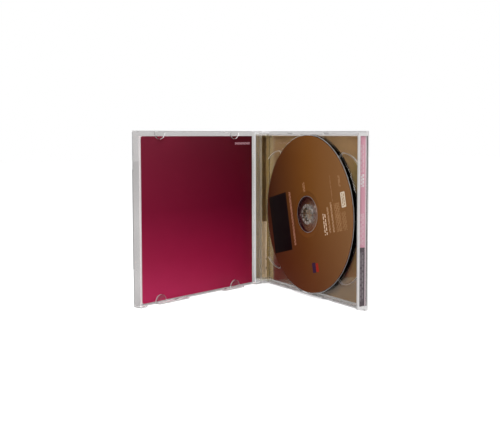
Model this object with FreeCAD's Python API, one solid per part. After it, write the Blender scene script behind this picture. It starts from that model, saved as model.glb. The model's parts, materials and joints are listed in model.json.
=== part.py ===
"""Double disc box, standing open: a clear lid with its booklet, and a base with
a swinging tray that holds one disc on each face.

Millimetres, +Z up. The origin is on the lid's hinge axis, in the plane that the
box stands on. The base runs along +X from the hinge and opens towards -Y. The
lid, its booklet and the staples are drawn shut, over the base, and then turned
about the hinge by the opening angle. The box is sized outwards from the discs:
the tray, the card, the booklet and the walls are added round them.
"""
import FreeCAD
import Part
import math
import os

OPEN_ANGLE = 70.0

# Discs
DISC_RADIUS = 60.0
DISC_HOLE_RADIUS = 7.5
DISC_THICKNESS = 1.2
DISC_CHAMFER = 0.2
STACKING_RING_RADIUS = 17.6
STACKING_RING = 0.15

# Mouldings
PANEL = 1.2
PANEL_CHAMFER = 0.3
LID_SIDE_WALL = 1.0
BASE_SIDE_WALL = 1.0
SIDE_GAP = 0.2
SHUT_GAP = 0.1

# Lid hinge: the axis stands this far from the left end, in the tray's plane
HINGE_INSET = 5.0
PIN_RADIUS = 1.5
PIN_CLEARANCE = 0.05
PIN_END_GAP = 0.1
SWING_GAP = 0.35

# Lid walls: deep at the arms, round the tabs and at the free end. Blocks and
# catches are given along the lid, from the discs' axis.
LID_SHALLOW = 3.2
ARM_LENGTH = 12.0
FREE_END_LENGTH = 6.0
NEAR_BLOCK = (-43.3, -20.8)
FAR_BLOCK = (18.2, 48.2)
NEAR_CATCH = (-28.5, -22.5)
FAR_CATCH = (21.7, 31.1)
CATCH_BUMP = 0.35
CATCH_DEPTH = 1.6
CATCH_NOTCH_PLAY = 0.8
TAB_RADIUS = 5.1
TAB_THICKNESS = 0.9
TAB_INSET = 5.6
LIP_LENGTH = 70.4
LIP_STEP = 0.4

# Base
BASE_RIM = 2.6
REST_SIZE = 4.0

# Booklet and staples
BOOKLET_THICKNESS = 0.9
BOOKLET_FROM_HINGE = 10.6
BOOKLET_FROM_END = 5.4
BOOKLET_BELOW = 0.3
BOOKLET_ABOVE = 2.7
PAPER_GAP = 0.05
STAPLE_WIRE = 0.5
STAPLE_LENGTH = 12.0
STAPLE_LEG = 1.6
STAPLE_FROM_END = 26.5

# Inlay card: the room above and below it, and how far each of its two folded
# sides stays behind the front edge of the spine wall beside it
CARD_THICKNESS = 0.3
CARD_END_ROOM = 3.5
CARD_LEFT_TUCK = 0.2
CARD_RIGHT_TUCK = 1.65

# Tray hinge strip: a channel with one inner rib, and an ear at each end
STRIP_WALL = 1.0
STRIP_RIB = 0.5
STRIP_RIB_HEIGHT = 0.8
STRIP_END_GAP = 0.2
EAR_RADIUS = 2.2
EAR_NECK = 1.0
EAR_LENGTH = 2.6
EAR_GAP = 0.2
DIMPLE_RADIUS = 0.9
DIMPLE_DEPTH = 0.5
DIMPLES_FROM_END = (12.8, 20.3)
TONGUE_WIDTH = 2.4
TONGUE_THICKNESS = 1.2
TONGUE_PLAY = 0.1

# Swinging tray: its reach past the disc at the hinge and at the free edge. The
# tray's edge cuts the last part of each finger recess's arc off.
TRAY_HINGE_BORDER = 2.0
TRAY_BORDER = 4.75
TRAY_WEB = 1.2
TRAY_RIB = 0.5
TRAY_RIB_HEIGHT = 0.45
TRAY_END_GAP = 0.25
TRAY_SIDE_GAP = 0.45
TRAY_PIN_RADIUS = 1.0
TRAY_BARREL_RADIUS = 1.6
DISC_TO_WALL = 0.3
TOP_RIB_ROOM = 1.0
STEP_UNDER_DISC = 1.7
STEP_RUN = 5.0
RECESS_RADIUS = 24.0
RECESS_CUT_OFF = 3.0
RECESS_FROM_TOP = 13.4
SEAT_INNER = 9.5
SEAT_OUTER = 17.0
SEAT_HEIGHT = 0.65
SEAT_GAP = 0.05

# Hub rosette, one on each face of the tray
FINGERS = 12
FINGER_INNER = 5.0
FINGER_SLOT = 1.1
FINGER_ROOT = 3.6
HUB_FIT = 0.05
LIP_REACH = 0.2
LIP_HEIGHT = 0.4
LIP_GAP = 0.05
HUB_BUTTON_RADIUS = 2.6
HUB_BUTTON_HEIGHT = 0.8
HUB_TO_BOOKLET = 0.1
HUB_TO_CARD = 0.75

# Worked out through the depth, from the middle of the tray
WEB_FACE = TRAY_WEB / 2
RIB_FACE = WEB_FACE + TRAY_RIB_HEIGHT
SEAT_FACE = WEB_FACE + SEAT_HEIGHT
DISC_FACE = SEAT_FACE + SEAT_GAP
LABEL_FACE = DISC_FACE + DISC_THICKNESS
LIP_FACE = LABEL_FACE + LIP_GAP
HUB_FACE = LIP_FACE + LIP_HEIGHT
CARD_FRONT = HUB_FACE + HUB_TO_CARD
FLOOR = CARD_FRONT + CARD_THICKNESS
BACK = FLOOR + PANEL
TAB_FRONT = -HUB_FACE - HUB_TO_BOOKLET + PAPER_GAP
BOOKLET_FRONT = -HUB_FACE - HUB_TO_BOOKLET - BOOKLET_THICKNESS
LID_INNER = BOOKLET_FRONT - PAPER_GAP
FRONT = LID_INNER - PANEL
LID_DEEP_BACK = BACK - BASE_RIM - SIDE_GAP
LID_SHALLOW_BACK = FRONT + LID_SHALLOW
BASE_WALL_FRONT = LID_SHALLOW_BACK + SHUT_GAP
LEFT_SPINE_FRONT = FRONT + SHUT_GAP
RIGHT_SPINE_FRONT = LID_INNER + SHUT_GAP

# Worked out along the box, from the lid's hinge axis
LEFT = -HINGE_INSET
CARD_LEFT = LEFT + PANEL
STRIP_LEFT = CARD_LEFT + CARD_THICKNESS
STRIP_RIGHT = HINGE_INSET + SHUT_GAP
TRAY_AXIS_X = STRIP_RIGHT + EAR_NECK + EAR_RADIUS
DISC_X = TRAY_AXIS_X + TRAY_HINGE_BORDER + DISC_RADIUS
TRAY_RIGHT = DISC_X + DISC_RADIUS + TRAY_BORDER
CARD_RIGHT = TRAY_RIGHT + TRAY_SIDE_GAP + CARD_THICKNESS
RIGHT = CARD_RIGHT + PANEL
ARM_RADIUS = BACK - PANEL_CHAMFER
LID_START = math.sqrt((math.hypot(HINGE_INSET, BACK) + SWING_GAP) ** 2 - LID_INNER ** 2)
BOOKLET_END = RIGHT - BOOKLET_FROM_END

# Worked out up the box
BASE_EDGE = LID_SIDE_WALL + SIDE_GAP
BASE_INNER = BASE_EDGE + BASE_SIDE_WALL
MIDDLE = BASE_INNER + DISC_TO_WALL + DISC_RADIUS
BOX_HEIGHT = MIDDLE * 2
BOOKLET_LOW = LID_SIDE_WALL + BOOKLET_BELOW
BOOKLET_HIGH = BOX_HEIGHT - LID_SIDE_WALL - BOOKLET_ABOVE
STRIP_LOW = BASE_INNER + STRIP_END_GAP
EAR_TOP = STRIP_LOW + EAR_LENGTH + EAR_GAP
TRAY_LOW = BASE_INNER + TRAY_END_GAP
TRAY_HIGH = BOX_HEIGHT - TRAY_LOW


def box(x0, x1, y0, y1, z0, z1):
    """A block between two corners."""
    return Part.makeBox(x1 - x0, y1 - y0, z1 - z0, FreeCAD.Vector(x0, y0, z0))


def rod(x, y, z0, z1, radius):
    """An upright cylinder."""
    return Part.makeCylinder(radius, z1 - z0, FreeCAD.Vector(x, y, z0))


def drum(x, z, y0, y1, radius):
    """A cylinder along the depth."""
    return Part.makeCylinder(radius, y1 - y0, FreeCAD.Vector(x, y0, z), FreeCAD.Vector(0, 1, 0))


def ring(x, z, y0, y1, inner, outer):
    """A flat ring facing along the depth."""
    return drum(x, z, y0, y1, outer).cut(drum(x, z, y0, y1, inner))


def turned_profile(profile):
    """A solid of revolution about the discs' axis, from (radius, depth) corners."""
    points = [FreeCAD.Vector(DISC_X + radius, -depth, MIDDLE) for radius, depth in profile]
    face = Part.Face(Part.makePolygon(points + points[:1]))
    return face.revolve(FreeCAD.Vector(DISC_X, 0, MIDDLE), FreeCAD.Vector(0, 1, 0), 360)


def fused(shapes):
    """One solid from several that meet."""
    return shapes[0].fuse(shapes[1:]).removeSplitter()


def both_ends(shape):
    """The shape and its mirror image in the box's middle height."""
    return [shape, shape.mirror(FreeCAD.Vector(0, 0, MIDDLE), FreeCAD.Vector(0, 0, 1))]


def both_faces(shape):
    """The shape and its mirror image in the tray's middle plane."""
    return [shape, back_copy(shape)]


def back_copy(shape):
    """The shape's mirror image in the tray's middle plane."""
    return shape.mirror(FreeCAD.Vector(0, 0, 0), FreeCAD.Vector(0, 1, 0))


def opened(shape):
    """The shut lid's shape, turned to the lid's open place."""
    turned = shape.copy()
    turned.rotate(FreeCAD.Vector(0, 0, 0), FreeCAD.Vector(0, 0, 1), -OPEN_ANGLE)
    return turned


def edges_at_depth(solid, y):
    """The solid's straight edges that lie at one depth."""
    return [e for e in solid.Edges if all(abs(v.Y - y) < 0.001 for v in e.Vertexes)]


def catches():
    """Where each catch starts and ends, along the lid."""
    return [(DISC_X + start, DISC_X + end) for start, end in (NEAR_CATCH, FAR_CATCH)]


def tab_centres():
    """Where the half-moon tabs stand along the lid."""
    return (DISC_X + NEAR_BLOCK[0] + TAB_INSET, DISC_X + FAR_BLOCK[1] - TAB_INSET)


def half_moon_tab(centre):
    """A thin half disc that stands up from the wall, over the booklet."""
    round_tab = drum(centre, LID_SIDE_WALL, TAB_FRONT, TAB_FRONT + TAB_THICKNESS, TAB_RADIUS)
    reach = TAB_RADIUS * 2
    above = box(centre - reach, centre + reach, FRONT, BACK, 0, reach)
    return round_tab.common(above)


def catch_bump(start, end):
    """A low rounded bump on the wall's inner face."""
    length = end - start
    radius = (length ** 2 / 4 + CATCH_BUMP ** 2) / (2 * CATCH_BUMP)
    back = LID_DEEP_BACK - CATCH_DEPTH
    low = LID_SIDE_WALL + CATCH_BUMP - radius
    round_bar = drum((start + end) / 2, low, back - CATCH_DEPTH, back, radius)
    room = box(start, end, FRONT, BACK, LID_SIDE_WALL / 2, LID_SIDE_WALL + CATCH_BUMP * 2)
    return round_bar.common(room)


def lid_wall():
    """The lid's lower side wall, with its arm and pin, deep blocks, tabs and catches."""
    top = LID_SIDE_WALL
    start = FRONT + PANEL_CHAMFER
    end = RIGHT - LIP_STEP
    parts = [
        box(LID_START, end, start, LID_SHALLOW_BACK, 0, top),
        box(end - FREE_END_LENGTH, end, start, LID_DEEP_BACK, 0, top),
        rod(0, 0, 0, top, ARM_RADIUS),
        box(0, ARM_LENGTH, -ARM_RADIUS, LID_DEEP_BACK, 0, top),
        rod(0, 0, top, BASE_INNER - PIN_END_GAP, PIN_RADIUS),
    ]
    for near, far in (NEAR_BLOCK, FAR_BLOCK):
        parts.append(box(DISC_X + near, DISC_X + far, start, LID_DEEP_BACK, 0, top))
    parts += [half_moon_tab(centre) for centre in tab_centres()]
    parts += [catch_bump(near, far) for near, far in catches()]
    return fused(parts)


def front_lid():
    """The clear lid: panel with a stepped free edge, and its two side walls."""
    panel = box(LID_START, RIGHT, FRONT, LID_INNER, 0, BOX_HEIGHT)
    panel = panel.makeChamfer(PANEL_CHAMFER, edges_at_depth(panel, FRONT))
    lip_low = MIDDLE - LIP_LENGTH / 2
    step = box(RIGHT - LIP_STEP, RIGHT + LIP_STEP, FRONT - PANEL, LID_INNER + PANEL, -PANEL, lip_low)
    return opened(fused([panel.cut(both_ends(step))] + both_ends(lid_wall())))


def booklet():
    """The stapled booklet, folded at the hinge side, behind the lid's tabs."""
    half = BOOKLET_THICKNESS / 2
    turn = BOOKLET_FROM_HINGE + half
    fold = rod(turn, BOOKLET_FRONT + half, BOOKLET_LOW, BOOKLET_HIGH, half)
    back = BOOKLET_FRONT + BOOKLET_THICKNESS
    pages = box(turn, BOOKLET_END, BOOKLET_FRONT, back, BOOKLET_LOW, BOOKLET_HIGH)
    return opened(fused([fold, pages]).cut(staple_pair()))


def staple(low):
    """One staple: its crown lies on the fold and its legs go into the pages."""
    half = STAPLE_WIRE / 2
    high = low + STAPLE_LENGTH
    y = BOOKLET_FRONT + BOOKLET_THICKNESS / 2
    x = BOOKLET_FROM_HINGE
    outer = box(x - half, x + STAPLE_LEG, y - half, y + half, low, high)
    inner = box(x + half, x + STAPLE_LEG, y - half, y + half, low + STAPLE_WIRE, high - STAPLE_WIRE)
    return outer.cut(inner)


def staple_pair():
    """Both staples, the same distance from the booklet's two ends."""
    low = BOOKLET_LOW + STAPLE_FROM_END - STAPLE_LENGTH / 2
    high = BOOKLET_HIGH - STAPLE_FROM_END - STAPLE_LENGTH / 2
    return [staple(low), staple(high)]


def booklet_staples():
    """The two staples, in their places in the open lid."""
    return opened(Part.makeCompound(staple_pair()))


def base_wall():
    """The base's lower side wall: hinge ear, catch notches and the strip's slot."""
    low, high = BASE_EDGE, BASE_INNER
    wall = fused([
        box(LEFT, RIGHT, BASE_WALL_FRONT, FLOOR, low, high),
        box(LEFT, ARM_RADIUS, LEFT_SPINE_FRONT, FLOOR, low, high),
    ])
    cuts = [rod(0, 0, low - SIDE_GAP, high + SIDE_GAP, PIN_RADIUS + PIN_CLEARANCE), tongue(TONGUE_PLAY)]
    for near, far in catches():
        start, end = near - CATCH_NOTCH_PLAY, far + CATCH_NOTCH_PLAY
        cuts.append(box(start, end, FRONT, LID_DEEP_BACK, low - SIDE_GAP, high + SIDE_GAP))
    return wall.cut(cuts)


def corner_rest():
    """The block in the lower right corner that the tray's free edge rests on."""
    left, top = TRAY_RIGHT - REST_SIZE, BASE_INNER + REST_SIZE / 2
    rest = box(left, CARD_RIGHT + PANEL / 2, RIB_FACE + SEAT_GAP, CARD_FRONT, BASE_INNER, top)
    flap_room = box(CARD_RIGHT - CARD_THICKNESS - PAPER_GAP, RIGHT, FRONT, BACK, CARD_END_ROOM, BOX_HEIGHT)
    post = box(left, TRAY_RIGHT, CARD_FRONT, FLOOR, BASE_INNER, CARD_END_ROOM - PAPER_GAP)
    return [rest.cut(flap_room), post]


def spine(x0, x1, front):
    """One of the base's two upright end walls."""
    return box(x0, x1, front, FLOOR, BASE_EDGE, BOX_HEIGHT - BASE_EDGE)


def base():
    """The clear base: back panel, rims, two spine walls, side walls, rests."""
    panel = box(LEFT, RIGHT, FLOOR, BACK, 0, BOX_HEIGHT)
    panel = panel.makeChamfer(PANEL_CHAMFER, edges_at_depth(panel, BACK))
    arm_end = ARM_RADIUS + SWING_GAP
    rim = box(arm_end, RIGHT, BACK - BASE_RIM, FLOOR, 0, BASE_EDGE + BASE_SIDE_WALL / 2)
    spines = [spine(LEFT, CARD_LEFT, LEFT_SPINE_FRONT), spine(CARD_RIGHT, RIGHT, RIGHT_SPINE_FRONT)]
    lower = fused([rim, base_wall()] + corner_rest())
    arm_room = box(LEFT - PANEL, arm_end, FRONT, BACK + PANEL, -PANEL, BASE_EDGE)
    return fused([panel] + spines + both_ends(lower)).cut(both_ends(arm_room))


def card_side(x, front, inward):
    """One side of the card, folded up along its spine wall."""
    x0, x1 = sorted((x, x + inward * CARD_THICKNESS))
    return box(x0, x1, front, CARD_FRONT, CARD_END_ROOM, BOX_HEIGHT - CARD_END_ROOM)


def inlay_card():
    """The printed card behind the tray, folded up along both spines."""
    sheet = box(CARD_LEFT, CARD_RIGHT, CARD_FRONT, FLOOR, CARD_END_ROOM, BOX_HEIGHT - CARD_END_ROOM)
    left = card_side(CARD_LEFT, LEFT_SPINE_FRONT + CARD_LEFT_TUCK, 1)
    right = card_side(CARD_RIGHT, RIGHT_SPINE_FRONT + CARD_RIGHT_TUCK, -1)
    card = fused([sheet, left, right])
    folds = [e for e in edges_at_depth(card, FLOOR) if abs(e.Vertexes[0].X - e.Vertexes[1].X) < 0.001]
    return card.makeFillet(CARD_THICKNESS * 0.9, folds)


def tongue(play):
    """The strip's end tongue, or the slot for it in the base's side wall."""
    right = STRIP_RIGHT - STRIP_WALL + play
    left = right - TONGUE_WIDTH - play * 2
    back = CARD_FRONT - STRIP_WALL + play
    front = back - TONGUE_THICKNESS - play * 2
    return box(left, right, front, back, BASE_EDGE - play, STRIP_LOW + STRIP_WALL)


def strip_ear():
    """The ear at the strip's lower end, with its neck and gusset."""
    top = STRIP_LOW + EAR_LENGTH
    eye = rod(TRAY_AXIS_X, 0, STRIP_LOW, top, EAR_RADIUS)
    neck = box(STRIP_RIGHT - STRIP_WALL, TRAY_AXIS_X, -EAR_RADIUS / 2, CARD_FRONT, STRIP_LOW, top)
    return fused([eye, neck, tongue(0)])


def tray_hinge_strip():
    """The clear strip clipped in beside the left spine; the tray hangs in its ears."""
    low, high = STRIP_LOW, BOX_HEIGHT - STRIP_LOW
    front, wall = LEFT_SPINE_FRONT, STRIP_WALL
    channel = box(STRIP_LEFT, STRIP_RIGHT, front, CARD_FRONT, low, high)
    inside = box(STRIP_LEFT + wall, STRIP_RIGHT - wall, front + wall, BACK, low + wall, high - wall)
    middle = (STRIP_LEFT + STRIP_RIGHT) / 2
    rib_back = front + wall + STRIP_RIB_HEIGHT
    rib = box(middle - STRIP_RIB / 2, middle + STRIP_RIB / 2, front, rib_back, low, high)
    strip = fused([channel.cut(inside), rib] + both_ends(strip_ear()))
    cuts = both_ends(rod(TRAY_AXIS_X, 0, low - EAR_GAP, EAR_TOP, TRAY_PIN_RADIUS + PIN_CLEARANCE))
    for z in DIMPLES_FROM_END:
        start = FreeCAD.Vector(STRIP_RIGHT - DIMPLE_DEPTH, 0, z)
        dimple = Part.makeCylinder(DIMPLE_RADIUS, EAR_NECK, start, FreeCAD.Vector(1, 0, 0))
        cuts = cuts + both_ends(dimple)
    return strip.cut(cuts)


def on_circle(radius, angle, y):
    """A point on a circle about the discs' axis."""
    return FreeCAD.Vector(DISC_X + radius * math.cos(angle), y, MIDDLE + radius * math.sin(angle))


def corner_ribs():
    """Thin ribs round the upper right corner pad: step, recess arc, two edges."""
    y0, y1 = -RIB_FACE, RIB_FACE
    recess_x = TRAY_RIGHT - RECESS_RADIUS + RECESS_CUT_OFF
    recess_z = TRAY_HIGH - RECESS_FROM_TOP - RECESS_RADIUS
    recess = ring(recess_x, recess_z, y0, y1, RECESS_RADIUS, RECESS_RADIUS + TRAY_RIB)
    recess = recess.common(box(recess_x, TRAY_RIGHT, y0, y1, recess_z, TRAY_HIGH))
    edge_low = recess_z + math.sqrt(RECESS_RADIUS ** 2 - (TRAY_RIGHT - recess_x) ** 2)
    edge = box(TRAY_RIGHT - TRAY_RIB, TRAY_RIGHT, y0, y1, edge_low, TRAY_HIGH)
    top = box(DISC_X, TRAY_RIGHT, y0, y1, TRAY_HIGH - TRAY_RIB, TRAY_HIGH)
    top = top.cut(drum(DISC_X, MIDDLE, y0, y1, DISC_RADIUS + TOP_RIB_ROOM))
    step = step_rib(recess_x, recess_z + RECESS_RADIUS)
    return [step, recess, edge, top]


def step_rib(recess_x, recess_top):
    """The short straight rib from under the disc's edge to the recess arc's top."""
    y = -RIB_FACE
    foot_radius = DISC_RADIUS - STEP_UNDER_DISC
    foot = on_circle(foot_radius, math.acos((recess_x - STEP_RUN - DISC_X) / foot_radius), y)
    head = FreeCAD.Vector(recess_x + TRAY_RIB / 2, y, recess_top + TRAY_RIB)
    along = head.sub(foot)
    across = FreeCAD.Vector(-along.z, 0, along.x).normalize().multiply(TRAY_RIB)
    corners = [foot, head, head.add(across), foot.add(across), foot]
    return Part.Face(Part.makePolygon(corners)).extrude(FreeCAD.Vector(0, RIB_FACE * 2, 0))


def hinge_side(rib):
    """The rib's mirror image on the tray's hinge side, as far as the tray reaches."""
    mirrored = rib.mirror(FreeCAD.Vector(DISC_X, 0, 0), FreeCAD.Vector(1, 0, 0))
    return mirrored.common(box(TRAY_AXIS_X, DISC_X, FRONT, BACK, 0, BOX_HEIGHT))


def hub_rosette():
    """The ring of springy fingers on the tray's front face, and its button."""
    outer = DISC_HOLE_RADIUS - HUB_FIT
    crown = turned_profile([
        (FINGER_INNER, 0),
        (outer, 0),
        (outer, LIP_FACE),
        (outer + LIP_REACH, LIP_FACE + LIP_HEIGHT / 4),
        (outer - LIP_REACH, HUB_FACE),
        (FINGER_INNER + LIP_REACH * 2, HUB_FACE),
        (FINGER_INNER, LIP_FACE - LIP_HEIGHT),
    ])
    slots = []
    for k in range(FINGERS):
        slot = box(FINGER_ROOT, outer + FINGER_SLOT, FRONT, -WEB_FACE, -FINGER_SLOT / 2, FINGER_SLOT / 2)
        slot.rotate(FreeCAD.Vector(0, 0, 0), FreeCAD.Vector(0, 1, 0), k * 360 / FINGERS)
        slot.translate(FreeCAD.Vector(DISC_X, 0, MIDDLE))
        slots.append(slot)
    button = drum(DISC_X, MIDDLE, -WEB_FACE - HUB_BUTTON_HEIGHT, 0, HUB_BUTTON_RADIUS)
    return [crown.cut(slots), button]


def swing_tray():
    """The clear tray: web, seats, rosettes, corner ribs, barrel and pins."""
    web = box(TRAY_AXIS_X, TRAY_RIGHT, -WEB_FACE, WEB_FACE, TRAY_LOW, TRAY_HIGH)
    ear_end = TRAY_AXIS_X + EAR_RADIUS + EAR_GAP
    ear_room = box(LEFT, ear_end, FRONT, BACK, 0, EAR_TOP)
    barrel = rod(TRAY_AXIS_X, 0, EAR_TOP, BOX_HEIGHT - EAR_TOP, TRAY_BARREL_RADIUS)
    seat = ring(DISC_X, MIDDLE, -SEAT_FACE, SEAT_FACE, SEAT_INNER, SEAT_OUTER)
    pieces = [web, barrel, seat]
    for rib in corner_ribs():
        pieces += both_ends(rib)
        near = hinge_side(rib)
        if near.Volume > 0:
            pieces += both_ends(near)
    for part in hub_rosette():
        pieces += both_faces(part)
    pin = rod(TRAY_AXIS_X, 0, TRAY_LOW, EAR_TOP, TRAY_PIN_RADIUS)
    return fused([fused(pieces).cut(both_ends(ear_room))] + both_ends(pin))


def front_disc():
    """The disc on the tray's front face, label outwards."""
    return turned_profile([
        (DISC_HOLE_RADIUS, DISC_FACE),
        (DISC_RADIUS - DISC_CHAMFER, DISC_FACE),
        (DISC_RADIUS, DISC_FACE + DISC_CHAMFER),
        (DISC_RADIUS, LABEL_FACE - DISC_CHAMFER),
        (DISC_RADIUS - DISC_CHAMFER, LABEL_FACE),
        (STACKING_RING_RADIUS + STACKING_RING, LABEL_FACE),
        (STACKING_RING_RADIUS, LABEL_FACE + STACKING_RING),
        (STACKING_RING_RADIUS - STACKING_RING, LABEL_FACE),
        (DISC_HOLE_RADIUS, LABEL_FACE),
    ])


def back_disc():
    """The disc on the tray's back face, label towards the inlay card."""
    return back_copy(front_disc())


NODES = {
    "base": base,
    "inlay_card": inlay_card,
    "tray_hinge_strip": tray_hinge_strip,
    "swing_tray": swing_tray,
    "front_disc": front_disc,
    "back_disc": back_disc,
    "front_lid": front_lid,
    "booklet": booklet,
    "booklet_staples": booklet_staples,
}


def main():
    """Write one file for each piece."""
    os.makedirs("parts", exist_ok=True)
    for name, build in NODES.items():
        build().exportStep("parts/" + name + ".step")


main()
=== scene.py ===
"""Looks of the open double disc box: clear mouldings, printed paper and discs.

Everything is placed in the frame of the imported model: metres, the lid's hinge
axis at X = 0, Y = 0, the standing edge at Z = 0. Sizes here are in millimetres.
Places on the lid are given as if it were shut: along it from the hinge, out of
its panel, and up.
"""

import json
import math
import random

import bmesh
import bpy
from mathutils import Matrix, Vector


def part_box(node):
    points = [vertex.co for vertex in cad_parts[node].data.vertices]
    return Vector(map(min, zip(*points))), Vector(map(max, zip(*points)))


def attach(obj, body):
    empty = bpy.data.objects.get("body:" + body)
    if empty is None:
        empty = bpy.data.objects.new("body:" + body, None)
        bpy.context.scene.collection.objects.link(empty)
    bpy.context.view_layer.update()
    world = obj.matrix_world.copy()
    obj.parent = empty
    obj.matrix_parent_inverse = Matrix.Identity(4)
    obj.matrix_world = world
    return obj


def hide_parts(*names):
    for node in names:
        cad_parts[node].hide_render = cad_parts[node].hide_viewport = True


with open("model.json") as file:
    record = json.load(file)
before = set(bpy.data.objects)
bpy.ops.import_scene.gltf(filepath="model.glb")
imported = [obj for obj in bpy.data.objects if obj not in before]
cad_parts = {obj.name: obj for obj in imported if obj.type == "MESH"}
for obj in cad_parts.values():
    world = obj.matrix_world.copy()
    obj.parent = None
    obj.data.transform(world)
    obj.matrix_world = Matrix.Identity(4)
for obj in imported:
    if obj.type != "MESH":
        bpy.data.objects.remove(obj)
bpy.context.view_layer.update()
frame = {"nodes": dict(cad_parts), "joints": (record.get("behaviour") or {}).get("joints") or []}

MM = 0.001
joints = {joint["name"]: joint for joint in frame["joints"]}

# The open box
OPEN_ANGLE = math.radians(70.0)
MIDDLE = joints["front_disc_turn"]["pos_m"][2] / MM

# Discs: their faces' depths are measured from the tray's middle
DISC_X = joints["front_disc_turn"]["pos_m"][0] / MM
DISC_RADIUS = 60.0
DISC_HOLE = 7.5
DISC_LABEL_FACE = 2.5
DISC_DATA_FACE = 1.3
HOLE_CHAMFER = 0.1
RIM_CHAMFER = 0.25
DATA_SIDE_CHAMFER = 0.2
PRINT_INNER = 14.0
PRINT_OUTER = 59.2
PRINT_THICKNESS = 0.04
PRINT_CHAMFER = 0.1
PRINT_CLEARANCE = 0.01
HUB_RING = 13.5
HUB_RING_RISE = 0.04
STACKING_RING = 17.6
STACKING_RING_RISE = 0.12
RING_HALF_WIDTH = 0.3
PRINTED_RING_HALF_WIDTH = 0.35

# Print. A field is its centre across and up, half width, half height, corner radius,
# strength and colour on screen. A block of rows is its centre across and up, half
# width, half height, row pitch, row fill, bar pitch, strength and colour on screen.
# Its rows stand side by side across it, and the bars in a row run up.

# Front label, tilted: a dark field, a pale box with rows, a small badge of two
# colours, and rows of plain bars where there would be lettering
LABEL_TILT = math.radians(13.2)
DARK_FIELD = (31.4, 52.3, 13.2, 22.7, 0.1, 1.0, (16, 6, 8))
PALE_BOX = (117.1, 76.7, 2.7, 5.5, 0.6, 0.75, (208, 196, 176))
PALE_BOX_ROWS = (117.1, 76.7, 1.9, 4.7, 1.9, 0.5, 2.2, 1.0, (122, 90, 60))
BADGE_HALVES = (
    (80.2, 23.1, 2.3, 3.8, 0.9, 0.85, (42, 26, 58)),
    (84.4, 23.8, 1.7, 3.3, 0.9, 0.85, (152, 34, 26)),
)
LABEL_ROWS = (
    (49.3, 57.4, 1.1, 20.8, 2.2, 0.8, 2.6, 0.80, (186, 134, 112)),
    (94.5, 57.0, 1.7, 7.9, 3.4, 0.6, 3.2, 0.90, (218, 192, 166)),
    (99.2, 60.6, 0.8, 9.4, 1.6, 0.6, 2.4, 0.75, (206, 170, 134)),
    (103.7, 63.0, 0.8, 10.9, 1.6, 0.6, 2.4, 0.75, (206, 170, 134)),
    (111.0, 63.7, 3.3, 10.3, 1.3, 0.5, 3.5, 0.55, (176, 136, 98)),
    (119.0, 61.6, 2.6, 6.6, 1.3, 0.5, 3.0, 0.40, (176, 136, 98)),
    (101.8, 83.5, 0.4, 9.7, 0.8, 0.9, 9.0, 0.45, (158, 118, 88)),
    (111.9, 89.6, 1.1, 4.2, 2.2, 0.9, 6.0, 0.45, (158, 122, 90)),
    (65.4, 82.6, 1.6, 3.6, 1.6, 0.5, 2.0, 0.60, (186, 142, 108)),
)

# Disc ink from the hinge side to the far side, darker at the hinge side as painted shade
# of the lid. Low on the label it is redder: the heights where that fades, its strength,
# and the share of it that the far side keeps.
LABEL_INK_AND_SHADE_TONES = ((0.0, (64, 27, 12)), (0.5, (101, 62, 26)), (1.0, (116, 82, 52)))
REDDER_UP = (5.0, 70.0)
REDDER_STRENGTH = 0.75
REDDER_ACROSS = (0.3, 1.0)
REDDER_FAR_SHARE = 0.3

# Booklet
BOOKLET_START = 10.6
BOOKLET_END = 131.6
BOOKLET_OUTER = -3.95
BOOKLET_INNER = -3.05
BOOKLET_MIDDLE = (BOOKLET_INNER + BOOKLET_OUTER) / 2
BOOKLET_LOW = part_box("booklet")[0].z / MM
BOOKLET_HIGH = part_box("booklet")[1].z / MM
LEAF_THICKNESS = 0.1
LEAVES = 4
FOLD_STEPS = 8
COVER_SHORT_BY = (0.1, 0.15)
LEAF_LENGTH_SPREAD = (0.0, 0.12)
LEAF_HEIGHT_SPREAD = (0.02, 0.15)

# Booklet cover: red tones from the lower to the upper edge, at the fold and at the free
# end; the ends of the red field, which starts before the fold so that only its far
# corners show; rows on the inner face; a tan field and rows on the outer face
COVER_FOLD_TONES = ((0.0, (162, 28, 66)), (0.25, (144, 20, 56)), (0.55, (102, 11, 37)), (1.0, (76, 10, 23)))
COVER_END_TONES = ((0.0, (186, 40, 88)), (0.25, (154, 30, 67)), (0.55, (124, 22, 51)), (1.0, (120, 34, 54)))
PRINT_START = -20.0
PRINT_END = 130.5
PRINT_MARGIN = 0.2
PRINT_CORNER = 1.6
COVER_INNER_ROWS = (22.5, 115.2, 9.0, 0.9, 1.5, 0.9, 1.5, 1.0, (196, 150, 160))
COVER_OUTER_FIELD = (71.0, 52.0, 44.0, 34.0, 0.3, 1.0, (178, 122, 88))
COVER_OUTER_ROWS = (105.0, 71.0, 6.0, 44.0, 6.0, 0.5, 17.0, 1.0, (226, 200, 186))

# Staples
STAPLE_CENTRES = (BOOKLET_LOW + 26.5, BOOKLET_HIGH - 26.5)
STAPLE_LENGTH = 12.0
STAPLE_LEG = 1.6
STAPLE_WIRE_RADIUS = 0.25
STAPLE_BEND = 0.3
STAPLE_BEND_MIDDLE = 0.08

# Inlay card
CARD_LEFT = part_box("inlay_card")[0].x / MM
CARD_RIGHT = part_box("inlay_card")[1].x / MM
CARD_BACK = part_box("inlay_card")[1].y / MM
CARD_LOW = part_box("inlay_card")[0].z / MM
CARD_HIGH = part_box("inlay_card")[1].z / MM
CARD_LEFT_FRONT = -4.9
CARD_RIGHT_FRONT = -2.25
CARD_THICKNESS = 0.3
CARD_INSET = 0.04
CARD_BEND = 0.35

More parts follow.
